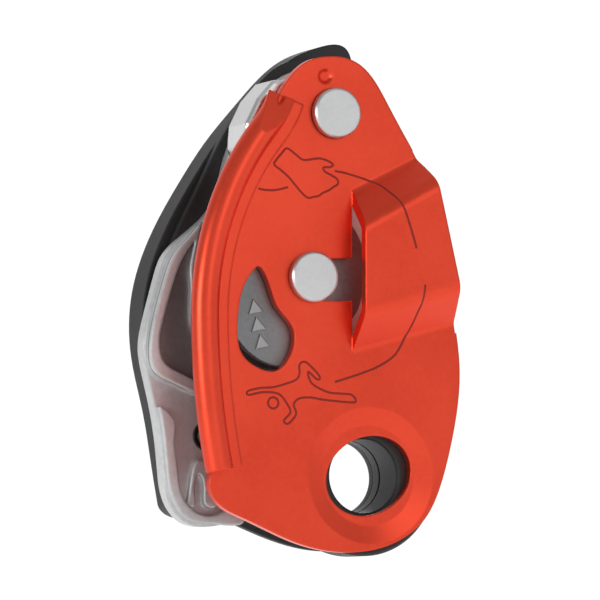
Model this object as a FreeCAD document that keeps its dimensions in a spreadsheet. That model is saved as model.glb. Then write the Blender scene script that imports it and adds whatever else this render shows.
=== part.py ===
"""Assisted-braking belay device: two side plates, a pivoting cam and an unfolding release handle.

The origin is the centre of the attachment hole on the rope's mid-plane. +X is to the right, +Z up
along the body, and the moving side plate faces -Y. Sketches are drawn on the front view, so in a
body's own axes x is +X, y is +Z and z, called height here, points to the front (-Y).
"""
import FreeCAD, Part
import math
import os
import re

import Sketcher
from FreeCAD import Placement, Rotation, Vector

FRONT = Rotation(Vector(1, 0, 0), 90)

# The outlines below are drawn, in mm, for a side plate of this width, top and bottom.
DRAWN_WIDTH = 71.5
DRAWN_TOP = 101.7
DRAWN_BOTTOM = 18.6

SIZES = {
    # side plates, seen from the front
    "plate_width": 71.5,
    "plate_top": 101.7,
    "plate_bottom": 18.6,
    "pivot_x": -9.6,
    "pivot_drop": 14.0,
    "axle_x": -15.7,
    "axle_drop": 40.0,
    # layers, from the rope's mid-plane outwards
    "back_depth": 5.0,
    "front_depth": 7.0,
    "fixed_thickness": 3.5,
    "moving_thickness": 2.5,
    "cover_gap": 0.1,
    "cover_thickness": 2.4,
    "crank_gap": 0.3,
    "crank_thickness": 2.7,
    "lever_gap": 0.3,
    "core_thickness": 1.6,
    "lever_thickness": 4.1,
    "side_gap": 0.4,
    # moving side plate
    "bead_radius": 3.4,
    "bead_bore": 0.9,
    "bead_lift": 0.2,
    "flap_width": 3.0,
    "flap_raise": 0.5,
    "strap_raise": 8.0,
    "strap_cut_x": -4.9,
    "slot_gap": 0.15,
    "eye_long": 23.2,
    "eye_short": 18.8,
    "eye_tilt": 22.0,
    "dish_radius": 16.6,
    "dish_depth": 1.2,
    "dish_slope": 4.4,
    "dimple_radius": 2.0,
    "plate_bush_wall": 0.9,
    # axle, pivot and their rings
    "axle_radius": 5.0,
    "head_overhang": 1.1,
    "head_height": 2.3,
    "head_gap": 0.3,
    "neck_radius": 3.6,
    "ring_thickness": 1.0,
    "running_fit": 0.05,
    "bush_wall": 1.5,
    "sleeve_wall": 2.5,
    "washer_thickness": 0.5,
    # cam
    "cam_nose": 23.5,
    "cam_back_radius": 15.5,
    "cam_groove": 3.0,
    "cam_flange": 2.2,
    "spring_room_radius": 12.6,
    "spring_room_depth": 4.4,
    "drive_wall": 2.95,
    # attachment
    "hole_radius": 9.0,
    "boss_radius": 19.4,
    "boss_top": 5.6,
    # friction plate
    "friction_radius": 33.0,
    "rivet_radius": 1.5,
    # handle
    "hinge_dx": 6.0,
    "hinge_dz": -6.0,
    "hinge_pin_radius": 3.0,
    "hub_radius": 11.0,
    "hub_bush_wall": 1.4,
    "hub_spring_room": 8.6,
    "crank_radius": 12.0,
    "cap_radius": 7.0,
    # small fasteners
    "screw_radius": 1.25,
    "screw_head_radius": 2.6,
    "screw_head_height": 1.5,
}

PIVOT_Z = "plate_top - pivot_drop"
AXLE_Z = PIVOT_Z + " - axle_drop"
HEAD_RADIUS = "axle_radius + head_overhang"
DRIVE_RADIUS = "axle_radius + running_fit + drive_wall"
FIXED_FRONT = "0 - back_depth"
FIXED_BACK = FIXED_FRONT + " - fixed_thickness"
COVER_FRONT = FIXED_BACK + " - cover_gap"
COVER_BACK = COVER_FRONT + " - cover_thickness"
CRANK_FRONT = COVER_BACK + " - crank_gap"
CRANK_BACK = CRANK_FRONT + " - crank_thickness"
CORE_FRONT = CRANK_BACK + " - lever_gap"
CORE_BACK = CORE_FRONT + " - core_thickness"
LEVER_BACK = CORE_BACK + " - lever_thickness"
MOVING_BACK = "front_depth"
MOVING_FRONT = MOVING_BACK + " + moving_thickness"
HEAD_BACK = MOVING_FRONT + " + head_gap"
HEAD_FRONT = HEAD_BACK + " + head_height"
CAM_BACK = FIXED_FRONT + " + side_gap"
CAM_FRONT = MOVING_BACK + " - side_gap"
HINGE_X = "axle_x + hinge_dx"
HINGE_Z = AXLE_Z + " + hinge_dz"

SPRING_TURN_GAP = 0.3
SPRING_HALF_TURNS = 4

doc = FreeCAD.newDocument("belay_device")
sheet = doc.addObject("Spreadsheet::Sheet", "sizes")
nodes = []


def fill_sheet():
    """Write every driving size into the spreadsheet, with its alias."""
    for row, (name, number) in enumerate(SIZES.items(), start=1):
        sheet.set(f"A{row}", name)
        sheet.set(f"B{row}", str(number))
        sheet.setAlias(f"B{row}", name)
    doc.recompute()


def size(name):
    """Read one size back from the spreadsheet."""
    return float(sheet.get(name))


def value(terms):
    """Add up a sum of sizes, such as 'front_depth + moving_thickness'."""
    total = 0.0
    sign = 1.0
    for token in terms.split():
        if token in "+-":
            sign = 1.0 if token == "+" else -1.0
        else:
            total += sign * (size(token) if token in SIZES else float(token))
    return total


def bound(terms):
    """Turn a sum of sizes into an expression on the spreadsheet."""
    return re.sub(r"[a-z]\w+", lambda name: "sizes." + name.group(0), terms)


def stretched(points):
    """Stretch drawn outline points to the side plate's width, top and bottom."""
    across = size("plate_width") / DRAWN_WIDTH
    up = size("plate_top") / DRAWN_TOP
    down = size("plate_bottom") / DRAWN_BOTTOM
    return [Vector(x * across, z * (up if z > 0 else down), 0) for x, z in points]


def from_axle(points):
    """Place front-view points that are measured from the cam's axle."""
    return [Vector(size("axle_x") + x, value(AXLE_Z) + z, 0) for x, z in points]


def ring_points(radii, centre_x, centre_z):
    """Give points at even angles about a centre, one for each radius."""
    step = 2 * math.pi / len(radii)
    points = []
    for index, radius in enumerate(radii):
        angle = index * step
        points.append(Vector(centre_x + radius * math.cos(angle), centre_z + radius * math.sin(angle), 0))
    return points


def origin_plane(body, role):
    """Find one of a body's own origin planes."""
    return next(plane for plane in body.Origin.OriginFeatures if plane.Role == role)


def new_body(label, centre_x="0", centre_z="0"):
    """Start a PartDesign body that looks to the front, with its axis at a centre."""
    body = doc.addObject("PartDesign::Body", label)
    body.Label = label
    body.Placement = Placement(Vector(0, 0, 0), FRONT)
    body.setExpression("Placement.Base.x", bound(centre_x))
    body.setExpression("Placement.Base.z", bound(centre_z))
    nodes.append(body)
    return body


def front_sketch(body, height, centre_x="0", centre_z="0"):
    """Add a sketch on the front view at a height, with its origin at a centre."""
    sketch = body.newObject("Sketcher::SketchObject", body.Label + "_sketch")
    sketch.AttachmentSupport = [(origin_plane(body, "XY_Plane"), "")]
    sketch.MapMode = "FlatFace"
    sketch.setExpression("AttachmentOffset.Base.x", bound(centre_x))
    sketch.setExpression("AttachmentOffset.Base.y", bound(centre_z))
    sketch.setExpression("AttachmentOffset.Base.z", bound(height))
    return sketch


def draw_circle(sketch, radius):
    """Draw a circle about the sketch's origin, with its radius bound."""
    index = sketch.addGeometry(Part.Circle(Vector(0, 0, 0), Vector(0, 0, 1), value(radius)), False)
    sketch.addConstraint(Sketcher.Constraint("Coincident", index, 3, -1, 1))
    number = sketch.addConstraint(Sketcher.Constraint("Radius", index, value(radius)))
    sketch.setExpression(f"Constraints[{number}]", bound(radius))


def draw_spline(sketch, points):
    """Draw one smooth closed curve through the points."""
    curve = Part.BSplineCurve()
    curve.interpolate(points, PeriodicFlag=True)
    sketch.addGeometry(curve, False)


def draw_polygon(sketch, points):
    """Draw a closed outline of straight lines."""
    count = len(points)
    for index in range(count):
        sketch.addGeometry(Part.LineSegment(points[index], points[(index + 1) % count]), False)
    for index in range(count):
        sketch.addConstraint(Sketcher.Constraint("Coincident", index, 2, (index + 1) % count, 1))


def pad_between(body, sketch, low, high):
    """Pad a sketch, which lies at the low height, up to the high one."""
    pad = body.newObject("PartDesign::Pad", body.Label + "_pad")
    pad.Profile = sketch
    pad.setExpression("Length", f"({bound(high)}) - ({bound(low)})")
    sketch.Visibility = False
    return pad


def pocket_between(body, sketch, low, high):
    """Pocket a sketch, which lies at the high height, down to the low one."""
    doc.recompute()
    volume, faces = body.Shape.Volume, len(body.Shape.Faces)
    pocket = body.newObject("PartDesign::Pocket", body.Label + "_pocket")
    pocket.Profile = sketch
    pocket.setExpression("Length", f"({bound(high)}) - ({bound(low)})")
    doc.recompute()
    if not body.Shape.Volume < volume and len(body.Shape.Faces) <= faces:
        raise RuntimeError(f"a pocket in {body.Label} cuts nothing")
    return pocket


def pad_disc(body, radius, low, high, centre_x="0", centre_z="0"):
    """Pad a round disc between two heights."""
    sketch = front_sketch(body, low, centre_x, centre_z)
    draw_circle(sketch, radius)
    return pad_between(body, sketch, low, high)


def pad_spline(body, points, low, high):
    """Pad a smooth outline between two heights."""
    sketch = front_sketch(body, low)
    draw_spline(sketch, points)
    return pad_between(body, sketch, low, high)


def drill(body, radius, low, high, centre_x="0", centre_z="0"):
    """Cut a round hole between two heights."""
    sketch = front_sketch(body, high, centre_x, centre_z)
    draw_circle(sketch, radius)
    return pocket_between(body, sketch, low, high)


def lathe(label, profile, centre_x="0", centre_z="0"):
    """Turn a closed (radius, height) outline about an axis that points to the front."""
    body = new_body(label, centre_x, centre_z)
    sketch = body.newObject("Sketcher::SketchObject", label + "_profile")
    sketch.AttachmentSupport = [(origin_plane(body, "XZ_Plane"), "")]
    sketch.MapMode = "FlatFace"
    draw_polygon(sketch, [Vector(value(radius), value(height), 0) for radius, height in profile])
    for index, (radius, height) in enumerate(profile):
        for kind, terms in (("DistanceX", radius), ("DistanceY", height)):
            number = sketch.addConstraint(Sketcher.Constraint(kind, -1, 1, index, 1, value(terms)))
            sketch.setExpression(f"Constraints[{number}]", bound(terms))
    turned = body.newObject("PartDesign::Revolution", label + "_turned")
    turned.Profile = sketch
    turned.ReferenceAxis = (sketch, ["V_Axis"])
    turned.Angle = 360
    return body


def ring_profile(inner, outer, low, high):
    """Give the (radius, height) outline of a plain ring."""
    return [(inner, low), (outer, low), (outer, high), (inner, high)]


def chamfer_rims(body, length):
    """Break the outer edges of a body's front and back faces."""
    doc.recompute()
    base = body.Tip
    names = []
    low, high = body.Shape.BoundBox.YMin, body.Shape.BoundBox.YMax
    for index, edge in enumerate(base.Shape.Edges, start=1):
        box = edge.BoundBox
        flat = box.ZLength < 1e-6
        rim = abs(box.ZMin + low) < 1e-6 or abs(box.ZMin + high) < 1e-6
        if flat and rim:
            names.append(f"Edge{index}")
    chamfer = body.newObject("PartDesign::Chamfer", body.Label + "_chamfer")
    chamfer.Base = (base, names)
    chamfer.Size = length
    doc.recompute()
    return chamfer


def front_cylinder(name, radius, low, high, centre_x, centre_z):
    """Make a Part cylinder between two heights, with its axis at a centre."""
    rod = doc.addObject("Part::Cylinder", name)
    rod.Placement = Placement(Vector(0, 0, 0), FRONT)
    rod.setExpression("Radius", bound(radius))
    rod.setExpression("Height", f"({bound(high)}) - ({bound(low)})")
    rod.setExpression("Placement.Base.x", bound(centre_x))
    rod.setExpression("Placement.Base.y", f"0 - ({bound(low)})")
    rod.setExpression("Placement.Base.z", bound(centre_z))
    return rod


def fastener_group(label, places, shank, head):
    """Make identical headed pins as one node: shank and head are (radius, low, high)."""
    pieces = []
    for index, (centre_x, centre_z) in enumerate(places):
        pieces.append(front_cylinder(f"{label}_shank_{index}", *shank, centre_x, centre_z))
        pieces.append(front_cylinder(f"{label}_head_{index}", *head, centre_x, centre_z))
    group = doc.addObject("Part::MultiFuse", label)
    group.Label = label
    group.Shapes = pieces
    nodes.append(group)
    return group


# The fixed side plate's edge: the part seen left of the moving plate, then the hidden right side.
FIXED_LEFT = [(-35.5, 65), (-42.9, 58), (-47.8, 53), (-49.7, 48), (-52.7, 37), (-53.7, 31),
              (-52.6, 24), (-50.8, 16.6), (-49.3, 8), (-48.6, 1.3), (-47.2, -6), (-43, -11.2),
              (-35.6, -12.3), (-26.7, -10.8)]
FIXED_RIGHT = [(-15, -14), (0, -17.4), (11, -13.8), (17, -4), (19.5, 10), (21, 25), (19, 42),
               (15, 62), (8, 80), (2, 91), (-9.6, 100), (-20, 95.5), (-27, 87), (-31.8, 76)]
NAME_RIM = [(-40.6, 60.2), (-43.1, 57.3), (-47.3, 52.3), (-49.2, 47.5), (-52.2, 36.8), (-53.1, 31),
            (-52.1, 25), (-46, 21.6), (-38, 19.8), (-36.5, 26), (-40.4, 34), (-41.2, 46), (-41.1, 55)]
NAME_FIELD = [(-41.9, 56.4), (-43, 55), (-45.6, 50.6), (-47.3, 46), (-50, 36.6), (-50.8, 31.5),
              (-49.6, 27), (-45, 24.2), (-38.5, 22.6), (-38.3, 27), (-42, 35), (-42.6, 46), (-42.3, 53)]
LOWER_RIM = [(-50.2, 16), (-48.8, 8), (-48.1, 1.3), (-46.8, -5.4), (-42.8, -10.6), (-35.6, -11.8),
             (-28, -10.6), (-29, -8.6), (-35.4, -9.6), (-41.4, -8.4), (-44.4, -4.4), (-45.4, 1.8),
             (-46.2, 8.6), (-47.4, 14.6)]
HOOK_RIB = [(-43.2, -7.2), (-41.6, -1), (-39.4, 3.6), (-37.2, 2.4), (-35.8, -3), (-35.4, -7.8),
            (-37.4, -7.6), (-38.2, -2.6), (-39.4, 0.2), (-40.8, -3.4), (-41.6, -7.8)]
COVER_EDGE = [(-9.6, 103), (1, 99.5), (7, 90), (12, 78), (16, 64), (19, 48), (21.5, 28), (20, 8),
              (16.5, -6), (8, -15.4), (-4, -18), (-19, -15), (-33, -9.5), (-43, -4), (-46, 10),
              (-48.5, 27), (-48.5, 42), (-44.5, 57), (-38, 70), (-31, 83.5), (-22, 96)]
LEVER_EDGE = [(-43.7, -6.6), (-45.5, 3.6), (-47.6, 15.5), (-50.7, 29), (-50.7, 44), (-48.1, 53.5),
              (-43.6, 63.2), (-37.8, 72.9), (-31.2, 82.6), (-23, 92.3), (-11.5, 103.3),
              (-4.5, 106.4), (3, 106.4), (4.4, 102.6), (-1, 97), (-8, 91), (-14, 84.5),
              (-21, 76), (-28, 66), (-33, 57), (-36.3, 48), (-37.3, 38), (-36, 26), (-34, 14),
              (-32.4, 2), (-33, -6.4), (-38, -10)]
LEVER_GROOVE = [(-41.3, -3), (-43.4, 12), (-46.6, 30), (-46.6, 43), (-42.6, 56), (-35.6, 68),
                (-27, 81), (-17, 92), (-6, 101), (-5, 99.8), (-15.8, 90.8), (-25.6, 79.8),
                (-34.2, 67.2), (-41.2, 55.2), (-45.1, 42.8), (-45.1, 30.2), (-41.9, 11.8), (-39.9, -3)]
# The friction plate's upper side, and the handle's web and core, measured from the axle.
FRICTION_BACK = [(-16.3, 31.8), (-15.8, 37.3), (-12.8, 43.3), (-8.8, 47.8), (-4.3, 48.3), (-2.3, 44.3),
                 (-2.7, 36.3)]
LEVER_WEB = [(14.7, -7.7), (11.7, 2.3), (1.7, 9.3), (-10.3, 16.3), (-20.3, 10.3), (-25.3, 0.3),
             (-26.3, -13.7), (-22.3, -23.7), (-10.3, -20.7), (1.7, -18.7), (11.7, -14.7)]
CORE_ARM = [(5.7, -14.7), (-12.3, -16.7), (-15.3, -4.2), (-12.3, 8.3), (5.7, 2.3)]
# Rivets and screws, each as (x, z) sums of sizes.
SCREW_PLACES = [("pivot_x + 15.6", PIVOT_Z + " - 7.7"), ("15.0", "24.0"), ("0 - 31.0", "0 - 5.0")]
BOSS_RIVET_PLACES = [("0 - 13.3", "4.8"), ("13.3", "4.8"), ("0", "0 - 14.2")]
FRICTION_RIVET_PLACES = [("axle_x - 7.8", AXLE_Z + " + 42.3"), ("axle_x - 11.0", AXLE_Z + " + 34.3")]
CORE_RIVET_PLACES = [("axle_x - 9.8", AXLE_Z + " + 2.8"), ("axle_x - 9.8", AXLE_Z + " - 11.2")]
LOWER_RIVET_PLACE = ("0 - 37.0", "9.5")


def build_fixed_side_plate():
    """Thick pressed plate with a raised, recessed field and a rim along its left edge."""
    body = new_body("fixed_side_plate")
    pad_spline(body, stretched(FIXED_LEFT + FIXED_RIGHT), FIXED_BACK, FIXED_FRONT)
    pad_spline(body, stretched(NAME_RIM), FIXED_FRONT, FIXED_FRONT + " + 3.5")
    pad_spline(body, stretched(LOWER_RIM), FIXED_FRONT, FIXED_FRONT + " + 2.0")
    pad_spline(body, stretched(HOOK_RIB), FIXED_FRONT, FIXED_FRONT + " + 1.4")
    field = front_sketch(body, FIXED_FRONT + " + 3.5")
    draw_spline(field, stretched(NAME_FIELD))
    pocket_between(body, field, FIXED_FRONT + " + 2.0", FIXED_FRONT + " + 3.5")
    through = (FIXED_BACK + " - 0.1", FIXED_FRONT + " + 0.1")
    drill(body, DRIVE_RADIUS + " + running_fit", *through, "axle_x", AXLE_Z)
    drill(body, "axle_radius + running_fit", *through, "pivot_x", PIVOT_Z)
    drill(body, "hole_radius", *through)
    for place in SCREW_PLACES:
        drill(body, "screw_radius + running_fit", *through, *place)
    for place in BOSS_RIVET_PLACES + FRICTION_RIVET_PLACES:
        drill(body, "rivet_radius + running_fit", *through, *place)
    drill(body, "rivet_radius + running_fit", *through, *LOWER_RIVET_PLACE)


def build_rear_cover():
    """Moulded cover behind the fixed plate, open for the drive sleeve and countersunk screws."""
    body = new_body("rear_cover")
    pad_spline(body, stretched(COVER_EDGE), COVER_BACK, COVER_FRONT)
    through = (COVER_BACK + " - 0.1", COVER_FRONT + " + 0.1")
    drill(body, DRIVE_RADIUS + " + running_fit", *through, "axle_x", AXLE_Z)
    drill(body, HEAD_RADIUS + " + running_fit", *through, "pivot_x", PIVOT_Z)
    drill(body, "hole_radius", *through)
    for place in SCREW_PLACES:
        drill(body, "screw_radius + running_fit", *through, *place)
        drill(body, "screw_head_radius + running_fit", COVER_BACK + " - 0.1",
              COVER_BACK + " + screw_head_height", *place)


def build_cover_screws():
    """Three flush screws that hold the rear cover to the fixed plate."""
    seat = COVER_BACK + " + screw_head_height"
    fastener_group("cover_screws", SCREW_PLACES, ("screw_radius", seat, FIXED_FRONT + " - 0.5"),
                   ("screw_head_radius", COVER_BACK + " + 0.05", seat))


def build_attachment_boss():
    """Moulded round boss between the plates, with the tunnel that the carabiner passes through."""
    body = new_body("attachment_boss")
    pad_disc(body, "boss_radius", FIXED_FRONT, "boss_top")
    drill(body, "hole_radius", FIXED_FRONT + " - 0.1", "boss_top + 0.1")
    for place in BOSS_RIVET_PLACES:
        drill(body, "rivet_radius + running_fit", FIXED_FRONT + " - 0.1", "boss_top + 0.1", *place)
    chamfer_rims(body, 0.6)


def build_boss_rivets():
    """Rivets through the boss and the fixed plate, with flat heads at the back."""
    fastener_group("boss_rivets", BOSS_RIVET_PLACES, ("rivet_radius", FIXED_BACK, "boss_top - 0.4"),
                   ("rivet_radius", "boss_top - 0.4", "boss_top"))


def build_lower_plate_rivet():
    """Domed rivet at the lower left of the fixed plate, in its seat ring."""
    lathe("lower_plate_rivet", [("0", FIXED_BACK), ("rivet_radius", FIXED_BACK),
                                ("rivet_radius", FIXED_FRONT), ("2.7", FIXED_FRONT),
                                ("2.7", FIXED_FRONT + " + 0.8"), ("1.9", FIXED_FRONT + " + 1.4"),
                                ("0", FIXED_FRONT + " + 1.6")], *LOWER_RIVET_PLACE)
    lathe("rivet_seat_ring", ring_profile("2.75", "3.7", FIXED_FRONT, FIXED_FRONT + " + 0.7"),
          *LOWER_RIVET_PLACE)


def pin_profile(back, neck):
    """Give the (radius, height) outline of a headed pin; a neck at the back takes its ring."""
    tail = [("0", back), ("neck_radius", back), ("neck_radius", neck), ("axle_radius", neck)]
    return tail + [("axle_radius", HEAD_BACK), (HEAD_RADIUS, HEAD_BACK),
                   (HEAD_RADIUS, HEAD_FRONT + " - 0.6"), (HEAD_RADIUS + " - 0.5", HEAD_FRONT),
                   ("0", HEAD_FRONT)]


def build_pins():
    """Cam axle and top pivot, their rings, the pivot's spacer sleeve and its washer."""
    lathe("cam_axle", pin_profile(CRANK_BACK, CRANK_BACK + " + ring_thickness"), "axle_x", AXLE_Z)
    lathe("axle_rear_ring", ring_profile("neck_radius + 0.02", HEAD_RADIUS, CRANK_BACK,
                                         CRANK_BACK + " + ring_thickness"), "axle_x", AXLE_Z)
    lathe("top_pivot_rivet", pin_profile(COVER_BACK + " + 0.2", COVER_BACK + " + 0.2 + ring_thickness"),
          "pivot_x", PIVOT_Z)
    lathe("pivot_rear_ring", ring_profile("neck_radius + 0.02", HEAD_RADIUS, COVER_BACK + " + 0.2",
                                          COVER_BACK + " + 0.2 + ring_thickness"), "pivot_x", PIVOT_Z)
    bore = "axle_radius + running_fit"
    outer = bore + " + sleeve_wall"
    top = MOVING_BACK + " - washer_thickness - 0.1"
    lathe("top_pivot_sleeve", ring_profile(bore, outer, FIXED_FRONT, top), "pivot_x", PIVOT_Z)
    lathe("pivot_washer", ring_profile(bore, outer + " - 0.3", top, top + " + washer_thickness"),
          "pivot_x", PIVOT_Z)


def build_friction_plate():
    """Hard stop that the cam squeezes the rope against, with its lower face an arc about the axle."""
    body = new_body("friction_plate")
    sketch = front_sketch(body, FIXED_FRONT)
    radius = size("friction_radius")
    axle = from_axle([(0, 0)])[0]
    ends = []
    for degrees in (100, 109, 118):
        angle = math.radians(degrees)
        ends.append(axle + Vector(radius * math.cos(angle), radius * math.sin(angle), 0))
    back = from_axle(FRICTION_BACK)
    sketch.addGeometry(Part.Arc(*ends), False)
    corners = [ends[2]] + back + [ends[0]]
    for start, end in zip(corners, corners[1:]):
        sketch.addGeometry(Part.LineSegment(start, end), False)
    pad_between(body, sketch, FIXED_FRONT, MOVING_BACK + " - side_gap")
    for place in FRICTION_RIVET_PLACES:
        drill(body, "rivet_radius + running_fit", FIXED_FRONT + " - 0.1", MOVING_BACK, *place)
    chamfer_rims(body, 0.7)
    fastener_group("friction_plate_rivets", FRICTION_RIVET_PLACES,
                   ("rivet_radius", FIXED_BACK, MOVING_BACK + " - side_gap - 0.5"),
                   ("rivet_radius", MOVING_BACK + " - side_gap - 0.5", MOVING_BACK + " - side_gap"))


def cam_points(shrink):
    """Outline of the cam about its axle: round on the right, with its nose at the upper left."""
    nose = size("cam_nose") - shrink
    back = size("cam_back_radius") - shrink
    radii = [back, back + 1.5, back + 2.5, back + 1, back + 4, nose, nose, nose, nose, back + 5, back, back]
    return ring_points(radii, 0, 0)


def build_cam():
    """Grooved cam between two flanges, its bush, its drive sleeve and its return spring."""
    body = new_body("cam", "axle_x", AXLE_Z)
    pad_spline(body, cam_points(size("cam_groove")), CAM_BACK, CAM_FRONT)
    pad_spline(body, cam_points(0), CAM_BACK, CAM_BACK + " + cam_flange")
    pad_spline(body, cam_points(0), CAM_FRONT + " - cam_flange", CAM_FRONT)
    drill(body, "axle_radius + running_fit + bush_wall", CAM_BACK + " - 0.1", CAM_FRONT + " + 0.1")
    room = front_sketch(body, CAM_BACK)
    draw_circle(room, "spring_room_radius")
    draw_circle(room, DRIVE_RADIUS + " + 0.1")
    doc.recompute()
    before = body.Shape.Volume
    pocket = body.newObject("PartDesign::Pocket", "cam_spring_room")
    pocket.Profile = room
    pocket.Reversed = True
    pocket.setExpression("Length", bound("spring_room_depth"))
    doc.recompute()
    if not body.Shape.Volume < before:
        raise RuntimeError("the cam's spring room cuts nothing")
    bore = "axle_radius + running_fit"
    lathe("cam_bush", ring_profile(bore, bore + " + bush_wall", CAM_BACK, CAM_FRONT), "axle_x", AXLE_Z)
    lathe("cam_drive_sleeve", ring_profile(bore, DRIVE_RADIUS, CRANK_FRONT, CAM_BACK), "axle_x", AXLE_Z)
    build_spring("cam_return_spring", DRIVE_RADIUS + " + 0.4", "spring_room_radius - 0.3",
                 CAM_BACK + " + 2.1", 3.0, "axle_x", AXLE_Z)


def build_spring(label, inner, outer, middle, breadth, centre_x, centre_z):
    """Wind a flat spiral torsion spring of strip: half circles whose radius grows by half a pitch."""
    gaps = SPRING_TURN_GAP * SPRING_HALF_TURNS / 2
    thickness = (value(outer) - value(inner) - gaps) / (1 + SPRING_HALF_TURNS / 2)
    growth = (thickness + SPRING_TURN_GAP) / 2
    radius = value(inner) + thickness / 2
    edges = []
    for turn in range(SPRING_HALF_TURNS):
        side = 1 if turn % 2 == 0 else -1
        centre = Vector(0 if side == 1 else growth, 0, 0)
        across = Vector(side * radius, 0, 0)
        edges.append(Part.Arc(centre + across, centre + Vector(0, side * radius, 0), centre - across).toShape())
        radius += growth
    start = edges[0].valueAt(edges[0].FirstParameter)
    half, low = thickness / 2, -breadth / 2
    corners = [start + Vector(x, 0, z) for x, z in ((-half, low), (half, low), (half, -low), (-half, -low))]
    section = Part.makePolygon(corners + corners[:1])
    coil = doc.addObject("Part::Feature", label)
    coil.Shape = Part.Wire(edges).makePipeShell([section], True, True)
    coil.Placement = Placement(Vector(value(centre_x), -value(middle), value(centre_z)), FRONT)
    coil.Label = label
    nodes.append(coil)


def build_crank():
    """Crank arm on the drive sleeve, and the pin that the handle turns on."""
    body = new_body("crank_arm")
    pad_disc(body, "crank_radius", CRANK_BACK, CRANK_FRONT, "axle_x", AXLE_Z)
    pad_disc(body, "hub_radius - 3.0", CRANK_BACK, CRANK_FRONT, HINGE_X, HINGE_Z)
    through = (CRANK_BACK + " - 0.1", CRANK_FRONT + " + 0.1")
    drill(body, "axle_radius + running_fit", *through, "axle_x", AXLE_Z)
    drill(body, HEAD_RADIUS + " + 0.1", CRANK_BACK + " - 0.1", CRANK_BACK + " + ring_thickness + 0.05",
          "axle_x", AXLE_Z)
    lathe("handle_pivot_pin", [("0", LEVER_BACK + " + 0.7"), ("hinge_pin_radius", LEVER_BACK + " + 0.7"),
                               ("hinge_pin_radius", CRANK_BACK), ("0", CRANK_BACK)], HINGE_X, HINGE_Z)


def build_handle():
    """Lever along the left edge, its steel core, bush, rivets, spring and hub cap."""
    lever = new_body("handle_lever")
    pad_spline(lever, stretched(LEVER_EDGE), LEVER_BACK, CRANK_FRONT)
    web = front_sketch(lever, LEVER_BACK)
    draw_spline(web, from_axle(LEVER_WEB))
    pad_between(lever, web, LEVER_BACK, CORE_BACK)
    pad_disc(lever, "hub_radius", LEVER_BACK, CORE_BACK, HINGE_X, HINGE_Z)
    bush_radius = "hinge_pin_radius + running_fit + hub_bush_wall"
    drill(lever, bush_radius, LEVER_BACK + " - 0.1", CORE_BACK + " + 0.1", HINGE_X, HINGE_Z)
    drill(lever, "cap_radius + running_fit", LEVER_BACK + " - 0.1", LEVER_BACK + " + 0.6", HINGE_X, HINGE_Z)
    drill(lever, "hub_spring_room", CORE_BACK + " - 1.8", CORE_BACK + " + 0.1", HINGE_X, HINGE_Z)
    for place in CORE_RIVET_PLACES:
        drill(lever, "rivet_radius + running_fit", LEVER_BACK + " - 0.1", CORE_BACK + " + 0.1", *place)
    groove = front_sketch(lever, LEVER_BACK)
    draw_spline(groove, stretched(LEVER_GROOVE))
    pocket = lever.newObject("PartDesign::Pocket", "lever_back_groove")
    pocket.Profile = groove
    pocket.Reversed = True
    pocket.Length = 0.9
    doc.recompute()
    core = new_body("handle_core")
    pad_disc(core, "hub_radius", CORE_BACK, CORE_FRONT, HINGE_X, HINGE_Z)
    arm = front_sketch(core, CORE_BACK)
    draw_polygon(arm, from_axle(CORE_ARM))
    pad_between(core, arm, CORE_BACK, CORE_FRONT)
    through = (CORE_BACK + " - 0.1", CORE_FRONT + " + 0.1")
    drill(core, "hub_spring_room", *through, HINGE_X, HINGE_Z)
    for place in CORE_RIVET_PLACES:
        drill(core, "rivet_radius + running_fit", *through, *place)
    fastener_group("handle_core_rivets", CORE_RIVET_PLACES,
                   ("rivet_radius", LEVER_BACK + " + 0.3", CORE_FRONT),
                   ("rivet_radius", LEVER_BACK, LEVER_BACK + " + 0.3"))
    lathe("handle_pivot_bush", ring_profile("hinge_pin_radius + running_fit", bush_radius,
                                            LEVER_BACK + " + 0.6", CORE_FRONT), HINGE_X, HINGE_Z)
    lathe("handle_hub_cap", [("0", LEVER_BACK + " + 0.6"), ("cap_radius", LEVER_BACK + " + 0.6"),
                             ("cap_radius", LEVER_BACK + " + 0.3"), ("cap_radius - 0.5", LEVER_BACK),
                             ("0", LEVER_BACK)], HINGE_X, HINGE_Z)
    build_spring("handle_return_spring", bush_radius + " + 0.35", "hub_spring_room - 0.5",
                 CORE_BACK + " - 0.2", 2.4, HINGE_X, HINGE_Z)


# The moving plate's edge; its left side is the centre line of the rolled bead.
MOVING_EDGE = [(-9.6, 101.7), (-1, 98.6), (4.4, 91.1), (9.2, 83.1), (12.9, 76.7), (15.8, 67.3),
               (20.7, 46.5), (24, 25), (21.7, 8.2), (19, -1.5), (14.3, -10.6), (6.9, -16),
               (-4.2, -18.6), (-19.3, -16.5), (-33.4, -10.7), (-40.2, -7), (-42.4, -2.5),
               (-40.8, 3.5), (-42.3, 15.5), (-43.8, 27), (-44.1, 38), (-43.1, 51.5), (-39.8, 63.2),
               (-34.6, 73.8), (-28.2, 84), (-22.6, 94.4), (-17, 100)]
BEAD_START = (-40.3, 0.7)
BEAD_START_DIRECTION = (-0.2, 0.98)
BEAD_POINTS = [(-44.1, 38), (-39.8, 63.2), (-28.2, 84), (-24.0, 91.5)]
# The window over the cam's face, measured from the axle.
WINDOW_EDGE = [(-14.7, 1.9), (-18.3, -4), (-19.4, -11), (-18.2, -19), (-14, -22.2), (-9.3, -22.8),
               (-5.9, -19.6), (-4.8, -12.6), (-8.6, -7.8), (-10.8, -2.8)]
# The strap's fold lines: height above the axle at the cut edge, and rise to the right.
LOW_FOLD, LOW_TOP, HIGH_TOP, HIGH_FOLD = (-17.8, 0.279), (-9.0, 0.28), (12.8, 0.56), (21.2, 0.494)
STRAP_REACH = 36.0
# The strap's flats take over from the sheet this far outside its folds.
FOLD_MARGIN = 2.5
# Inside radius of the strap's bends, at its folds and at its crest.
FOLD_RADIUS, CREST_RADIUS = 2.2, 3.0
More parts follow.
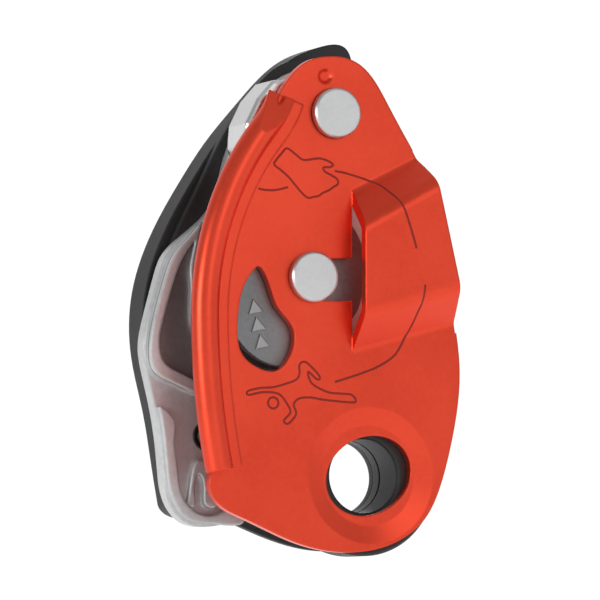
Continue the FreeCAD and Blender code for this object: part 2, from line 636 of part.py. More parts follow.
# The strap's open end stops this share of the way to the plate's right edge.
STRAP_END = 0.985
DIMPLE_PLACE = [(-12.0, 96.7)]


def prism(points, low, high):
    """Extrude a smooth closed outline between two heights."""
    curve = Part.BSplineCurve()
    curve.interpolate([point + Vector(0, 0, low) for point in points], PeriodicFlag=True)
    face = Part.Face(Part.Wire([curve.toShape()]))
    return face.extrude(Vector(0, 0, high - low))


def disc(radius, low, high, centre_x, centre_z):
    """Make a round disc between two heights."""
    return Part.makeCylinder(radius, high - low, Vector(centre_x, centre_z, low))


def tangent_arcs(start, direction, points):
    """Chain arcs through the points, each tangent to the one before."""
    edges = []
    tangent = direction.normalize()
    for end in points:
        chord = end - start
        normal = Vector(-tangent.y, tangent.x, 0)
        radius = chord.dot(chord) / (2 * chord.dot(normal))
        centre = start + normal * radius
        middle = (start + end) * 0.5 - centre
        middle = centre + middle.normalize() * abs(radius)
        edges.append(Part.Arc(start, middle, end).toShape())
        tangent = (chord.normalize() * (2 * tangent.dot(chord)) - tangent).normalize()
        start = end
    return edges


def bead_and_flap():
    """Curl the plate's left edge into a hollow bead whose free edge lies flat on the face."""
    radius = size("bead_radius")
    middle = value(MOVING_BACK + " + bead_lift") + radius
    face = value(MOVING_FRONT)
    start = stretched([BEAD_START])[0]
    direction = Vector(*BEAD_START_DIRECTION, 0).normalize()
    inward = Vector(direction.y, -direction.x, 0)
    path = Part.Wire(tangent_arcs(start, direction, stretched(BEAD_POINTS)))
    centre = start + Vector(0, 0, middle)
    outer = Part.Wire([Part.makeCircle(radius, centre, direction)])
    inner = Part.Wire([Part.makeCircle(size("bead_bore"), centre, direction)])
    edge = radius + size("flap_width")
    top = face + size("flap_raise")
    corners = [(radius * 0.6, face - 0.4), (edge, face - 0.4), (edge, top - 0.2), (edge - 0.3, top),
               (radius * 0.6, top)]
    corners = [start + inward * across + Vector(0, 0, height) for across, height in corners]
    flap = Part.makePolygon(corners + corners[:1])
    lifted = path.copy()
    lifted.translate(Vector(0, 0, middle))
    bead = lifted.makePipeShell([outer], True, True)
    bore = lifted.makePipeShell([inner], True, True)
    strip = path.makePipeShell([flap], True, True)
    return bead, bore, strip


def rounded_wire(points, radii):
    """Join points with straight edges and round each corner to its radius (0 keeps it sharp)."""
    count = len(points)
    joints = []
    for index in range(count):
        corner = points[index]
        before = (points[index - 1] - corner).normalize()
        after = (points[(index + 1) % count] - corner).normalize()
        if radii[index] == 0:
            joints.append((corner, None, corner))
            continue
        half = before.getAngle(after) / 2
        reach = radii[index] / math.tan(half)
        centre = corner + (before + after).normalize() * (radii[index] / math.sin(half))
        middle = centre + (corner - centre).normalize() * radii[index]
        joints.append((corner + before * reach, middle, corner + after * reach))
    edges = []
    for index in range(count):
        entry, middle, leave = joints[index]
        if middle is not None:
            edges.append(Part.Arc(entry, middle, leave).toShape())
        edges.append(Part.makeLine(leave, joints[(index + 1) % count][0]))
    return Part.Wire(edges)


def strap_section(across):
    """Section of the raised strap in the plane a distance to the right of its cut edge."""
    low = value(MOVING_BACK)
    thickness = size("moving_thickness")
    raised = low + size("strap_raise")
    plane = size("strap_cut_x") + across
    folds = [value(AXLE_Z) + base + rise * across for base, rise in (LOW_FOLD, LOW_TOP, HIGH_TOP, HIGH_FOLD)]
    run = folds[1] - folds[0]
    inset = thickness * math.tan(math.atan2(size("strap_raise"), run) / 2)
    front = [(folds[0] - 4, low), (folds[0], low), (folds[1], raised), (folds[2], raised),
             (folds[3], low), (folds[3] + 4, low)]
    shifts = (0, inset, inset, -inset, -inset, 0)
    back = [(up + shift, height) for (up, height), shift in zip(front, shifts)]
    front = [(up, height + thickness) for up, height in front]
    corners = [Vector(plane, up, height) for up, height in front + back[::-1]]
    fold, crest = FOLD_RADIUS, CREST_RADIUS
    radii = [0, fold, crest + thickness, crest + thickness, fold, 0]
    radii += [0, fold + thickness, crest, crest, fold + thickness, 0]
    return rounded_wire(corners, radii)


def build_moving_side_plate():
    """Pressed plate: bead, raised strap, dished eye, axle slot and window, in one sheet."""
    low, high = value(MOVING_BACK), value(MOVING_FRONT)
    pivot = (size("pivot_x"), value(PIVOT_Z))
    axle = (size("axle_x"), value(AXLE_Z))
    cut_x = size("strap_cut_x")
    edge = stretched(MOVING_EDGE)
    plate = prism(edge, low, high)
    dish, depth, slope = size("dish_radius"), size("dish_depth"), size("dish_slope")
    outer = dish + (high - low) * math.tan(math.atan2(depth, slope) / 2)
    plate = plate.fuse(Part.makeCone(outer - slope, outer, depth, Vector(0, 0, low - depth)))
    plate = plate.cut(Part.makeCone(dish - slope, dish, depth, Vector(0, 0, high - depth)))
    gap = [Vector(cut_x + across, value(AXLE_Z) + base + margin + rise * across, low - 1)
           for (base, rise), margin, across in (
               (LOW_FOLD, -FOLD_MARGIN, 0), (LOW_FOLD, -FOLD_MARGIN, STRAP_REACH),
               (HIGH_FOLD, FOLD_MARGIN, STRAP_REACH), (HIGH_FOLD, FOLD_MARGIN, 0))]
    opening = Part.Face(Part.makePolygon(gap + gap[:1])).extrude(Vector(0, 0, high - low + 2))
    strap = Part.makeLoft([strap_section(0), strap_section(STRAP_REACH)], True, True)
    inside = [Vector(point.x * STRAP_END, point.y, 0) for point in edge]
    limit = prism(inside, low - 1, high + size("strap_raise") + 1)
    plate = plate.cut(opening).fuse(strap.common(limit))
    bead, bore, flap = bead_and_flap()
    plate = plate.fuse(bead).cut(bore).fuse(flap)
    tip = stretched([BEAD_POINTS[-1]])[0]
    ledge = high + size("flap_raise") + 0.1
    wedge = [Vector(tip.x - 12, tip.y - 11, high + 5), Vector(tip.x - 12, tip.y + 2, ledge),
             Vector(tip.x - 12, tip.y + 9, ledge), Vector(tip.x - 12, tip.y + 9, high + 5)]
    wedge = Part.Face(Part.makePolygon(wedge + wedge[:1])).extrude(Vector(19, 0, 0))
    plate = plate.cut(wedge)
    reach = math.dist(pivot, axle)
    half = value("axle_radius + slot_gap")
    band = disc(reach + half, low - 1, high + 1, *pivot).cut(disc(reach - half, low - 1, high + 1, *pivot))
    side = Part.makeBox(cut_x - axle[0] + 1.5, 30, high - low + 2, Vector(axle[0], axle[1] - 15, low - 1))
    lean = math.degrees(math.atan2(axle[0] - pivot[0], pivot[1] - axle[1]))
    side.rotate(Vector(*axle, 0), Vector(0, 0, 1), lean)
    plate = plate.cut(band.common(side)).cut(disc(half, low - 1, high + 1, *axle))
    plate = plate.cut(prism(from_axle(WINDOW_EDGE), low - 1, high + 1))
    eye = Part.Ellipse(Vector(0, 0, low - 3), size("eye_long") / 2, size("eye_short") / 2).toShape()
    eye.rotate(Vector(0, 0, 0), Vector(0, 0, 1), size("eye_tilt"))
    plate = plate.cut(Part.Face(Part.Wire([eye])).extrude(Vector(0, 0, high - low + 4)))
    bush = value("axle_radius + running_fit + plate_bush_wall")
    plate = plate.cut(disc(bush, low - 1, high + 1, *pivot))
    dimple = Part.makeCone(size("dimple_radius") - 0.9, size("dimple_radius"), 0.9,
                           stretched(DIMPLE_PLACE)[0] + Vector(0, 0, high - 0.9))
    plate = plate.cut(dimple)
    node = doc.addObject("Part::Feature", "moving_side_plate")
    node.Label = "moving_side_plate"
    node.Shape = plate.Solids[0] if len(plate.Solids) == 1 else plate
    node.Placement = Placement(Vector(0, 0, 0), FRONT)
    nodes.append(node)
    bore = "axle_radius + running_fit"
    lathe("plate_pivot_bush", ring_profile(bore, bore + " + plate_bush_wall", MOVING_BACK,
                                           MOVING_FRONT), "pivot_x", PIVOT_Z)


def check_and_write():
    """Stop on any failed object or bad shape, then write one file for each node."""
    doc.recompute()
    for item in doc.Objects:
        if "Invalid" in item.State or "Error" in item.State:
            raise RuntimeError(f"{item.Label} failed: {item.State}")
    for node in nodes:
        if node.Shape.isNull() or not node.Shape.isValid() or not node.Shape.Solids:
            raise RuntimeError(f"{node.Label} has no valid solid")
    os.makedirs("parts", exist_ok=True)
    for node in nodes:
        node.Shape.exportStep(f"parts/{node.Label}.step")
        box = node.Shape.BoundBox
        print(f"{node.Label:24s} solids {len(node.Shape.Solids)} volume {node.Shape.Volume:9.1f} "
              f"x {box.XMin:6.1f}..{box.XMax:6.1f} y {box.YMin:6.1f}..{box.YMax:6.1f} "
              f"z {box.ZMin:6.1f}..{box.ZMax:6.1f}")


fill_sheet()
build_fixed_side_plate()
build_rear_cover()
build_cover_screws()
build_attachment_boss()
build_boss_rivets()
build_lower_plate_rivet()
build_pins()
build_friction_plate()
build_cam()
build_crank()
build_handle()
build_moving_side_plate()
check_and_write()
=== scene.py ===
"""Looks of the belay device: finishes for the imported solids, engraved lines, stage, lights and camera."""
import logging
import math
from dataclasses import dataclass, field
from enum import Enum

import bpy
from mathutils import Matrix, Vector


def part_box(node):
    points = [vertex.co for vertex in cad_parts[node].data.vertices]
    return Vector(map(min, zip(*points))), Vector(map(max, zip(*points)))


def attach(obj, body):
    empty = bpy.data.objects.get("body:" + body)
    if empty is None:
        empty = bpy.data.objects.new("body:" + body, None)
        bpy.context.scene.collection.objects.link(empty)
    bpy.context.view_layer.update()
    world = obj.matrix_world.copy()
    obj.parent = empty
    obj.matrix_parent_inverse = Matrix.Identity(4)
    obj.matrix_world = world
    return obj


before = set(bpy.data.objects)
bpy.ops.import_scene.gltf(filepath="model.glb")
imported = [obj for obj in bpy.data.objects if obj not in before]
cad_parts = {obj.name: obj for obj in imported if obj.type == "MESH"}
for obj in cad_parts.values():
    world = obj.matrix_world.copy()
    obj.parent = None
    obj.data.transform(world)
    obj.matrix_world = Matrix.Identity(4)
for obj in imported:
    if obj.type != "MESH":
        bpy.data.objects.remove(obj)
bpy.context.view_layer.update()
LOG = logging.getLogger("belay_device")
MM = 0.001

# Mottling that all finishes share: wide patches and fine specks, each with its scale, detail and share.
PATCHES = (45.0, 3.0, 0.7)
SPECKS = (900.0, 5.0, 0.3)
# Where the mottling turns from a finish's shade to its colour.
SHADE_AT, COLOUR_AT = 0.34, 0.62
# The middle of a noise, where most of its values lie.
NOISE_LOW, NOISE_HIGH = 0.3, 0.7
# Painted shade: how much darker the recessed field's painted shade gets where its mottling is darkest.
FIELD_SHADE = 0.75
BORE_LINING = (0.012, 0.012, 0.012, 1.0)
COAT_ROUGHNESS = 0.25
BEVEL_SAMPLES = 6
RELIEF_STRENGTH = 0.5
# Sockets of the colour mixing node.
MIX_FACTOR, MIX_FIRST, MIX_SECOND, MIX_RESULT = 0, 6, 7, 2
HEAD_POINTS = 8
RAY_START = -0.05

Point = tuple[float, float]
Place = tuple[float, float, float]
Colour = tuple[float, float, float]


class Grain(Enum):
    """How a surface's fine relief runs."""

    BLASTED = "blasted"
    BRUSHED = "brushed"
    TURNED = "turned"
    MOULDED = "moulded"


class NodeBoard:
    """A material's node tree, filled from small calls."""

    def __init__(self, name: str) -> None:
        """Start a material with a Principled shader and Object coordinates."""
        self.material = bpy.data.materials.new(name)
        self.material.use_nodes = True
        self.tree = self.material.node_tree
        self.shader = self.tree.nodes["Principled BSDF"]
        self.coordinates = self.tree.nodes.new("ShaderNodeTexCoord").outputs["Object"]

    def add(self, kind: str, **inputs: object) -> bpy.types.Node:
        """Add a node and link or set its inputs.

        Args:
            kind: The node's type name.
            inputs: Input names, with underscores for spaces, and what goes into each.

        Returns:
            The new node.
        """
        node = self.tree.nodes.new(kind)
        for name, given in inputs.items():
            self.feed(node, name.replace("_", " "), given)
        return node

    def feed(self, node: bpy.types.Node, name: str | int, given: object) -> None:
        """Link a socket into an input, or set the input's value."""
        if isinstance(given, bpy.types.NodeSocket):
            self.tree.links.new(given, node.inputs[name])
        else:
            node.inputs[name].default_value = given

    def math(self, operation: str, first: object, second: object = 0.0) -> bpy.types.NodeSocket:
        """Add a maths node and return its result."""
        node = self.tree.nodes.new("ShaderNodeMath")
        node.operation = operation
        self.feed(node, 0, first)
        self.feed(node, 1, second)
        return node.outputs[0]

    def mapped(self, scale: Colour, centre: Colour = (0.0, 0.0, 0.0)) -> bpy.types.NodeSocket:
        """Stretch the Object coordinates about a centre and return them."""
        node = self.tree.nodes.new("ShaderNodeMapping")
        node.inputs["Scale"].default_value = scale
        node.inputs["Location"].default_value = [-c * s for c, s in zip(centre, scale)]
        self.tree.links.new(self.coordinates, node.inputs["Vector"])
        return node.outputs[0]

    def noise(self, vector: bpy.types.NodeSocket, scale: float, detail: float = 4.0) -> bpy.types.NodeSocket:
        """Add a noise texture and return its value."""
        return self.add("ShaderNodeTexNoise", Vector=vector, Scale=scale, Detail=detail).outputs[0]

    def ramp(self, value: bpy.types.NodeSocket, stops: list[tuple[float, Colour]]) -> bpy.types.NodeSocket:
        """Turn a value into a colour through a list of stops."""
        node = self.tree.nodes.new("ShaderNodeValToRGB")
        while len(node.color_ramp.elements) < len(stops):
            node.color_ramp.elements.new(0.5)
        for element, (place, colour) in zip(node.color_ramp.elements, stops):
            element.position = place
            element.color = (*colour, 1.0)
        self.tree.links.new(value, node.inputs[0])
        return node.outputs[0]

    def spread(self, value: bpy.types.NodeSocket, low: float, high: float) -> bpy.types.NodeSocket:
        """Map a value from the middle of a noise to a range."""
        node = self.tree.nodes.new("ShaderNodeMapRange")
        node.inputs["From Min"].default_value = NOISE_LOW
        node.inputs["From Max"].default_value = NOISE_HIGH
        node.inputs["To Min"].default_value = low
        node.inputs["To Max"].default_value = high
        self.tree.links.new(value, node.inputs["Value"])
        return node.outputs[0]

    def choose(self, mask: bpy.types.NodeSocket, outside: object, inside: object) -> bpy.types.NodeSocket:
        """Return one colour where a mask is 0 and another where it is 1."""
        node = self.tree.nodes.new("ShaderNodeMix")
        node.data_type = "RGBA"
        self.feed(node, MIX_FACTOR, mask)
        self.feed(node, MIX_FIRST, outside)
        self.feed(node, MIX_SECOND, inside)
        return node.outputs[MIX_RESULT]


@dataclass(frozen=True)
class Finish:
    """One surface finish, made as a procedural material."""

    name: str
    colour: Colour
    shade: Colour
    metallic: float = 1.0
    roughness: float = 0.35
    roughness_spread: float = 0.06
    grain: Grain = Grain.BLASTED
    grain_scale: float = 9000.0
    grain_height: float = 0.00001
    edge_round: float = 0.0004
    coat: float = 0.0
    axis: Point = (0.0, 0.0)
    # Painted shade: a recessed field, given by front and back depth and lowest height in mm, is painted a
    # darker colour that stands in for the shade in the recess.
    recess: tuple[float, float, float] | None = None
    painted_recess_shade: Colour = (0.25, 0.25, 0.252)
    bore: float = 0.0

    def relief(self, board: NodeBoard) -> bpy.types.NodeSocket:
        """Return the height of the finish's fine relief."""
        if self.grain is Grain.TURNED:
            place = board.mapped((1.0, 0.0, 1.0), (self.axis[0] * MM, 0.0, self.axis[1] * MM))
            reach = board.add("ShaderNodeVectorMath")
            reach.operation = "LENGTH"
            board.feed(reach, 0, place)
            rings = board.math("SINE", board.math("MULTIPLY", reach.outputs["Value"], self.grain_scale * 2.2))
            blur = board.noise(board.coordinates, self.grain_scale * 0.5)
            return board.math("ADD", board.math("MULTIPLY", rings, 0.35), blur)
        if self.grain is Grain.BRUSHED:
            return board.noise(board.mapped((1.0, 1.0, 0.03)), self.grain_scale * 0.6)
        if self.grain is Grain.MOULDED:
            pits = board.add("ShaderNodeTexVoronoi", Vector=board.coordinates, Scale=self.grain_scale * 0.35)
            return board.math("ADD", pits.outputs["Distance"], board.noise(board.coordinates, self.grain_scale))
        return board.noise(board.coordinates, self.grain_scale)

    def sunk(self, board: NodeBoard, colour: bpy.types.NodeSocket,
             value: bpy.types.NodeSocket) -> bpy.types.NodeSocket:
        """Paint shade onto a recessed field as a darker colour, and blacken the bore about the origin.

        Args:
            board: The material's board.
            colour: The colour outside the field.
            value: The mottling value that mottles the field's painted shade too.

        Returns:
            The colour with the field's painted shade where depth and height are the field's.
        """
        front, back, bottom = (edge * MM for edge in self.recess)
        parts = board.add("ShaderNodeSeparateXYZ", Vector=board.coordinates)
        across = board.math("MULTIPLY", parts.outputs["X"], parts.outputs["X"])
        across = board.math("ADD", across, board.math("MULTIPLY", parts.outputs["Z"], parts.outputs["Z"]))
        lined = board.math("LESS_THAN", across, (self.bore * MM) ** 2)
        inside = board.math("MULTIPLY", board.math("GREATER_THAN", parts.outputs["Y"], front),
                            board.math("LESS_THAN", parts.outputs["Y"], back))
        inside = board.math("MULTIPLY", inside, board.math("GREATER_THAN", parts.outputs["Z"], bottom))
        # Painted shade: inside the field the plate takes a darker colour, standing in for the shade in the
        # recess.
        dark = tuple(FIELD_SHADE * channel for channel in self.painted_recess_shade)
        painted_field_shade = board.ramp(value, [(SHADE_AT, dark), (COLOUR_AT, self.painted_recess_shade)])
        return board.choose(lined, board.choose(inside, colour, painted_field_shade), BORE_LINING)

    def make(self) -> bpy.types.Material:
        """Build the material.

        Returns:
            The material, with its colour, roughness and relief driven by nodes.
        """
        board = NodeBoard(self.name)
        shader = board.shader
        layers = [board.math("MULTIPLY", board.noise(board.coordinates, scale, detail), share)
                  for scale, detail, share in (PATCHES, SPECKS)]
        mixed = board.math("ADD", *layers)
        colour = board.ramp(mixed, [(SHADE_AT, self.shade), (COLOUR_AT, self.colour)])
        # Paint shade onto the recessed field where the finish has one.
        if self.recess:
            colour = self.sunk(board, colour, mixed)
        board.feed(shader, "Base Color", colour)
        low, high = self.roughness - self.roughness_spread, self.roughness + self.roughness_spread
        board.feed(shader, "Roughness", board.spread(mixed, low, high))
        shader.inputs["Metallic"].default_value = self.metallic
        shader.inputs["Coat Weight"].default_value = self.coat
        shader.inputs["Coat Roughness"].default_value = COAT_ROUGHNESS
        bevel = board.tree.nodes.new("ShaderNodeBevel")
        bevel.samples = BEVEL_SAMPLES
        bevel.inputs["Radius"].default_value = self.edge_round
        bump = board.tree.nodes.new("ShaderNodeBump")
        bump.inputs["Strength"].default_value = RELIEF_STRENGTH
        bump.inputs["Distance"].default_value = self.grain_height
        board.feed(bump, "Height", self.relief(board))
        board.feed(bump, "Normal", bevel.outputs["Normal"])
        board.feed(shader, "Normal", bump.outputs["Normal"])
        return board.material


ORANGE = Finish("orange_anodised", (0.83, 0.074, 0.034), (0.75, 0.06, 0.026), metallic=0.88,
                roughness=0.32, grain_scale=7000.0, grain_height=0.000006, coat=0.04, edge_round=0.0007)
# The satin plate's recessed name field gets painted shade.
SATIN = Finish("satin_aluminium", (0.68, 0.685, 0.69), (0.5, 0.505, 0.51), metallic=0.6, roughness=0.42,
               grain_height=0.00001, edge_round=0.0009, recess=(2.7, 3.3, 20.5), bore=9.4)
RIB = Finish("satin_mark", (0.38, 0.385, 0.39), (0.3, 0.305, 0.31), roughness=0.4)
NYLON = Finish("black_nylon", (0.012, 0.012, 0.0125), (0.008, 0.008, 0.0085), metallic=0.0,
               roughness=0.55, grain=Grain.MOULDED, grain_scale=5200.0, grain_height=0.00002,
               edge_round=0.0009)
DARK_STEEL = Finish("dark_steel", (0.06, 0.06, 0.063), (0.03, 0.03, 0.032), roughness=0.4)
POLISHED = Finish("polished_steel", (0.74, 0.74, 0.74), (0.64, 0.64, 0.645), roughness=0.2,
                  grain=Grain.BRUSHED, grain_height=0.000004, edge_round=0.001)
CAST = Finish("cast_steel", (0.26, 0.262, 0.268), (0.17, 0.172, 0.178), roughness=0.48,
              grain_height=0.00003, grain_scale=4200.0)
BRONZE = Finish("bronze", (0.46, 0.31, 0.13), (0.33, 0.21, 0.08), roughness=0.35)
WIRE = Finish("spring_steel", (0.34, 0.34, 0.35), (0.22, 0.22, 0.23), roughness=0.3, grain=Grain.BRUSHED)
# Painted shade: the engraved lines' dark red stands in for the shadow in their grooves, which the shallow
# strips don't cast.
PAINTED_GROOVE_SHADE = Finish("engraved_line_painted_shade", (0.3, 0.014, 0.006), (0.22, 0.01, 0.004), metallic=0.2,
                  roughness=0.6, edge_round=0.0001)


def turned(name: str, axis: Point) -> Finish:
    """Return the turned and lightly blasted steel of a head centred on an axis."""
    return Finish(name, (0.66, 0.665, 0.67), (0.55, 0.555, 0.56), roughness=0.38, grain=Grain.TURNED,
                  grain_scale=6000.0, grain_height=0.000012, edge_round=0.0005, axis=axis)


def dress(names: list[str], finish: Finish) -> None:
    """Give each named solid of the frame one finish."""
    material = finish.make()
    for name in names:
        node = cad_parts[name]
        node.data.materials.clear()
        node.data.materials.append(material)
        LOG.info("dressed %s in %s", name, finish.name)


def drop_selection() -> None:
    """Deselect everything, because an operator acts on all that is selected."""
    bpy.ops.object.select_all(action="DESELECT")


def finish_piece(piece: bpy.types.Object, name: str, finish: Finish, body: str) -> None:
    """Name, dress and mount a new piece.

    Args:
        piece: The object to finish.
        name: The piece's name.
        finish: The finish that it is given.
        body: The body that it rides on.
    """
    piece.name = name
    piece.data.materials.clear()
    piece.data.materials.append(finish.make())
    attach(piece, body)
    LOG.info("made %s on %s", name, body)


def surface_depth(node: bpy.types.Object, across: float, up: float, default: float) -> float:
    """Find how far back a solid's front surface lies, straight behind a front-view point."""
    hit, place, _, _ = node.ray_cast(Vector((across, RAY_START, up)), Vector((0.0, 1.0, 0.0)))
    return place.y if hit else default


def dense(points: list[Point], closed: bool, pieces: int) -> list[Point]:
    """Divide each run between points, rounding corners a little by a Catmull-Rom curve."""
    count = len(points)
    runs = count if closed else count - 1
    result = []
    for index in range(runs):
        around = [points[(index + shift) % count] if closed else
                  points[min(max(index + shift, 0), count - 1)] for shift in (-1, 0, 1, 2)]
        for step in range(pieces):
            t = step / pieces
            weights = (-0.5 * t + t * t - 0.5 * t ** 3, 1 - 2.5 * t * t + 1.5 * t ** 3,
                       0.5 * t + 2 * t * t - 1.5 * t ** 3, -0.5 * t * t + 0.5 * t ** 3)
            result.append(tuple(sum(w * p[axis] for w, p in zip(weights, around)) for axis in (0, 1)))
    if not closed:
        result.append(points[-1])
    return result


@dataclass
class Engraving:
    """Thin engraved lines that lie on the front of the moving side plate, dark red as painted shade in their
    grooves, sizes in mm.
    """

    width: float = 0.6
    depth: float = 0.09
    pieces: int = 6
    hand: list[Point] = field(default_factory=lambda: [
        (-22.2, 78.7), (-20.0, 77.4), (-18.0, 76.1), (-15.7, 76.3), (-13.5, 76.6), (-11.2, 76.0),
        (-10.0, 75.2), (-10.8, 74.6), (-12.5, 74.4), (-12.2, 73.5), (-10.6, 72.7), (-9.0, 71.8),
        (-8.7, 70.6), (-9.9, 69.8), (-11.0, 69.0), (-12.6, 68.3), (-13.8, 67.5), (-15.2, 67.2),
        (-16.6, 66.9), (-18.2, 68.0), (-20.2, 70.1), (-21.8, 71.8), (-23.7, 73.3), (-25.5, 74.6),
        (-25.0, 75.8), (-23.7, 77.3)])
    rope: list[list[Point]] = field(default_factory=lambda: [
        [(-29.7, 68.7), (-28.0, 68.4), (-25.1, 68.5), (-21.9, 69.3)],
        [(-9.5, 73.7), (-5.8, 73.1), (0.7, 71.2), (3.2, 68.6), (5.4, 64.4), (7.4, 58.8), (8.6, 54.9)],
        [(10.9, 46.2), (10.4, 40.2), (9.4, 34.6), (6.6, 29.6), (2.2, 26.6), (-2.9, 24.6), (-9.5, 22.5)]])
    climber: list[Point] = field(default_factory=lambda: [
        (-32.4, 19.8), (-29.3, 20.6), (-25.7, 20.9), (-22.4, 21.8), (-19.8, 22.8), (-18.9, 24.2),
        (-18.9, 26.4), (-17.7, 27.2), (-16.2, 26.4), (-13.6, 23.8), (-14.2, 23.0), (-16.6, 24.8),
        (-16.0, 22.5), (-14.2, 21.1), (-11.0, 19.9), (-7.9, 19.7), (-5.0, 19.4), (-4.2, 17.7),
        (-9.8, 17.9), (-13.1, 18.2), (-16.1, 18.6), (-18.9, 18.3), (-20.4, 16.9), (-19.8, 14.5),
        (-21.8, 12.2), (-23.0, 12.9), (-21.3, 14.9), (-22.2, 17.0), (-24.4, 19.3), (-28.6, 19.6),
        (-32.2, 18.9)])
    head_centre: Point = (-25.8, 17.1)
    head_radius: float = 1.35

    def stroke(self, points: list[Point], closed: bool) -> bpy.types.Object:
        """Lay one line on the plate's front surface.

        Args:
            points: Front-view points, in mm.
            closed: Whether the line returns to its start.

        Returns:
            The line as a thin mesh strip, half sunk in the surface.
        """
        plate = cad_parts["moving_side_plate"]
        drop_selection()
        bpy.ops.curve.primitive_nurbs_path_add(location=(0, 0, 0))
        curve = bpy.context.active_object.data
        curve.splines.clear()
        curve.bevel_depth = self.width / 2 * MM
        curve.bevel_resolution = 1
        spline = curve.splines.new("POLY")
        line = dense(points, closed, self.pieces)
        spline.points.add(len(line) - 1)
        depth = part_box("moving_side_plate")[0][1]
        for point, (across, up) in zip(spline.points, line):
            depth = surface_depth(plate, across * MM, up * MM, depth)
            point.co = (across * MM, depth, up * MM, 1.0)
        spline.use_cyclic_u = closed
        bpy.ops.object.convert(target="MESH")
        piece = bpy.context.view_layer.objects.active
        squash = self.depth / (self.width / 2)
        for vertex in piece.data.vertices:
            surface = surface_depth(plate, vertex.co.x, vertex.co.z, vertex.co.y)
            vertex.co.y = surface + (vertex.co.y - surface) * squash
        return piece

    def build(self) -> None:
        """Lay every line and mount them all on the swinging plate."""
        angles = [2 * math.pi * index / HEAD_POINTS for index in range(HEAD_POINTS)]
        circle = [(self.head_centre[0] + self.head_radius * math.cos(angle),
                   self.head_centre[1] + self.head_radius * math.sin(angle)) for angle in angles]
        lines = [("engraved_hand", self.hand, True), ("engraved_climber", self.climber, True),
                 ("engraved_head", circle, True)]
        lines += [(f"engraved_rope_{i}", points, False) for i, points in enumerate(self.rope)]
        for name, points, closed in lines:
            piece = self.stroke(points, closed)
            # Each line takes the dark red of painted groove shade.
            finish_piece(piece, name, PAINTED_GROOVE_SHADE, "swing_plate")


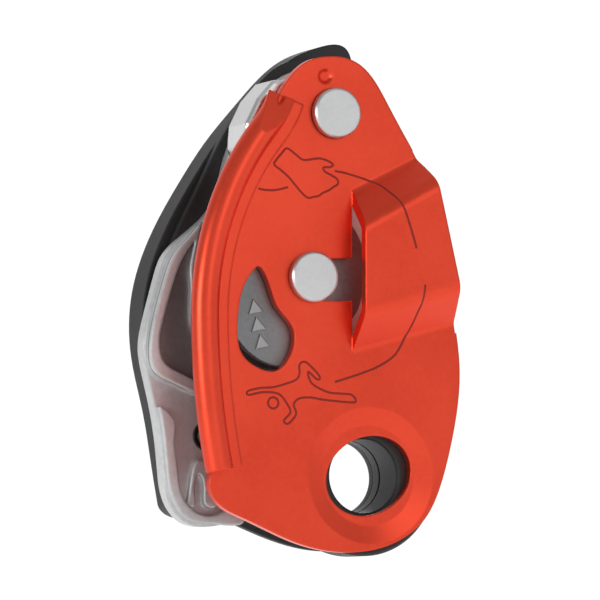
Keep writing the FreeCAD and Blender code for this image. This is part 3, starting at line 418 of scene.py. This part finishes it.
@dataclass
class Studio:
    """Floor, lights and camera, sizes in mm, except that a lamp's place and side are in metres."""

    target: Place = (-18.75, -9.5, 42.1)
    azimuth: float = -24.0
    elevation: float = -4.0
    distance: float = 1200.0
    lens: float = 298.5
    floor_drop: float = 120.0
    sky: list[tuple[float, float]] = field(default_factory=lambda: [
        (0.0, 0.86), (0.485, 0.84), (0.495, 1.04), (0.575, 1.04), (0.62, 0.8), (1.0, 0.66)])
    front: list[tuple[float, float]] = field(default_factory=lambda: [(0.0, 0.68), (0.4, 0.72), (0.8, 1.0)])
    side: list[tuple[float, float]] = field(default_factory=lambda: [(0.0, 0.45), (0.35, 1.0), (0.8, 1.0)])
    lamps: list[tuple[str, Place, float, float]] = field(default_factory=lambda: [
        ("key", (-0.95, -0.32, 0.16), 0.3, 2.4), ("front", (0.1, -0.85, 0.3), 0.4, 0.55),
        ("back_light", (0.5, 0.7, 0.6), 0.5, 4.0)])

    def camera(self) -> None:
        """Place the camera on its line of sight to the target."""
        turn, rise = math.radians(-self.azimuth), math.radians(-self.elevation)
        sight = Vector((math.cos(rise) * math.sin(turn), math.cos(rise) * math.cos(turn), math.sin(rise)))
        data = bpy.data.cameras.new("camera")
        data.lens = self.lens
        data.clip_start = 0.01
        camera = bpy.data.objects.new("camera", data)
        bpy.context.scene.collection.objects.link(camera)
        camera.location = (Vector(self.target) - sight * self.distance) * MM
        camera.rotation_euler = sight.to_track_quat("-Z", "Y").to_euler()
        bpy.context.scene.camera = camera

    def floor(self) -> None:
        """Lay a plain pale floor below the hanging device."""
        drop_selection()
        bpy.ops.mesh.primitive_plane_add(size=30.0, location=(0, 0, -self.floor_drop * MM))
        floor = bpy.context.active_object
        floor.name = "floor"
        board = NodeBoard("pale_floor")
        board.shader.inputs["Base Color"].default_value = (0.9, 0.9, 0.9, 1.0)
        board.shader.inputs["Roughness"].default_value = 0.9
        board.shader.inputs["Emission Color"].default_value = (1.0, 1.0, 1.0, 1.0)
        board.shader.inputs["Emission Strength"].default_value = 0.3
        floor.data.materials.append(board.material)

    def area(self, name: str, place: Place, side: float, power: float) -> None:
        """Hang a square soft light that faces the device, with its place and side in metres."""
        data = bpy.data.lights.new(name, "AREA")
        data.size = side
        data.energy = power
        lamp = bpy.data.objects.new(name, data)
        bpy.context.scene.collection.objects.link(lamp)
        lamp.location = place
        lamp.rotation_euler = (Vector(self.target) * MM - Vector(place)).to_track_quat("-Z", "Y").to_euler()

    def surroundings(self) -> None:
        """Fill the surroundings with soft light: brightest at the horizon behind, dim at the left."""
        world = bpy.data.worlds.new("soft_room")
        world.use_nodes = True
        tree = world.node_tree
        direction = tree.nodes.new("ShaderNodeTexCoord").outputs["Generated"]
        parts = tree.nodes.new("ShaderNodeSeparateXYZ")
        tree.links.new(direction, parts.inputs[0])
        level = None
        for axis, stops in (("Z", self.sky), ("Y", self.front), ("X", self.side)):
            place = tree.nodes.new("ShaderNodeMath")
            place.operation = "MULTIPLY_ADD"
            place.inputs[1].default_value = 0.5
            place.inputs[2].default_value = 0.5
            tree.links.new(parts.outputs[axis], place.inputs[0])
            ramp = tree.nodes.new("ShaderNodeValToRGB")
            while len(ramp.color_ramp.elements) < len(stops):
                ramp.color_ramp.elements.new(0.5)
            for element, (along, bright) in zip(ramp.color_ramp.elements, stops):
                element.position = along
                element.color = (bright, bright, bright, 1.0)
            tree.links.new(place.outputs[0], ramp.inputs[0])
            if level is None:
                level = ramp.outputs[0]
                continue
            product = tree.nodes.new("ShaderNodeMath")
            product.operation = "MULTIPLY"
            tree.links.new(level, product.inputs[0])
            tree.links.new(ramp.outputs[0], product.inputs[1])
            level = product.outputs[0]
        tree.links.new(level, tree.nodes["Background"].inputs["Color"])
        bpy.context.scene.world = world

    def build(self) -> None:
        """Set up the whole studio."""
        self.camera()
        self.floor()
        self.surroundings()
        bpy.context.scene.view_settings.view_transform = "Standard"
        for name, place, side, power in self.lamps:
            self.area(name, place, side, power)


@dataclass
class Plates:
    """The two side plates and what is fixed between them."""

    def build(self) -> None:
        """Dress the plates, the friction plate, the boss and the cover."""
        dress(["moving_side_plate"], ORANGE)
        dress(["fixed_side_plate"], SATIN)
        dress(["friction_plate"], POLISHED)
        dress(["rear_cover", "attachment_boss"], NYLON)
        dress(["lower_plate_rivet", "rivet_seat_ring", "cover_screws"], DARK_STEEL)
        Engraving().build()


@dataclass
class Axles:
    """Cam axle, top pivot and the small steel pieces on them."""

    cam_axis: Point = (-15.7, 47.7)
    pivot_axis: Point = (-9.6, 87.7)

    def build(self) -> None:
        """Dress the turned pieces about their own axes."""
        dress(["cam_axle", "axle_rear_ring", "cam_drive_sleeve"], turned("turned_axle", self.cam_axis))
        dress(["top_pivot_rivet", "pivot_rear_ring", "top_pivot_sleeve", "pivot_washer"],
              turned("turned_pivot", self.pivot_axis))
        dress(["boss_rivets", "friction_plate_rivets"], POLISHED)
        dress(["cam_bush", "plate_pivot_bush"], BRONZE)


@dataclass
class CamMark:
    """Plain raised arrowheads on the cam's face, seen through the window, sizes in mm."""

    places: list[Point] = field(default_factory=lambda: [(-27.6, 31.6), (-28.6, 35.8), (-29.4, 40.0)])
    radius: float = 2.3
    height: float = 0.3
    lean: float = 12.0

    def arrowhead(self, place: Point) -> bpy.types.Object:
        """Raise one three-cornered mark from the cam's face.

        Args:
            place: Its front-view centre.

        Returns:
            The mark, a bevelled triangle.
        """
        drop_selection()
        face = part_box("cam")[0][1]
        bpy.ops.mesh.primitive_circle_add(vertices=3, radius=self.radius * MM, fill_type="NGON",
                                          location=(place[0] * MM, face, place[1] * MM),
                                          rotation=(math.pi / 2, math.radians(-self.lean), 0))
        piece = bpy.context.active_object
        bpy.ops.object.transform_apply(location=True, rotation=True, scale=True)
        bpy.ops.object.mode_set(mode="EDIT")
        bpy.ops.mesh.select_all(action="SELECT")
        bpy.ops.mesh.extrude_region_move(TRANSFORM_OT_translate={"value": (0, -self.height * MM, 0)})
        bpy.ops.mesh.inset(thickness=0.25 * MM, depth=0.08 * MM)
        bpy.ops.mesh.select_all(action="SELECT")
        bpy.ops.mesh.normals_make_consistent(inside=False)
        bpy.ops.object.mode_set(mode="OBJECT")
        return piece

    def build(self) -> None:
        """Raise every mark and mount it on the cam."""
        for index, place in enumerate(self.places):
            piece = self.arrowhead(place)
            finish_piece(piece, f"cam_arrowhead_{index}", RIB, "cam")


@dataclass
class CamAndHandle:
    """Cam, crank and release handle."""

    def build(self) -> None:
        """Dress the cam, the crank, the lever and their small pieces."""
        dress(["cam", "crank_arm", "handle_core"], CAST)
        dress(["handle_lever", "handle_hub_cap"], NYLON)
        dress(["cam_return_spring", "handle_return_spring"], WIRE)
        dress(["handle_pivot_pin", "handle_core_rivets"], POLISHED)
        dress(["handle_pivot_bush"], BRONZE)
        CamMark().build()


def main() -> None:
    """Build the sub-assemblies in order."""
    logging.basicConfig(level=logging.INFO)
    Studio().build()
    Plates().build()
    Axles().build()
    CamAndHandle().build()


if __name__ == "__main__":
    main()
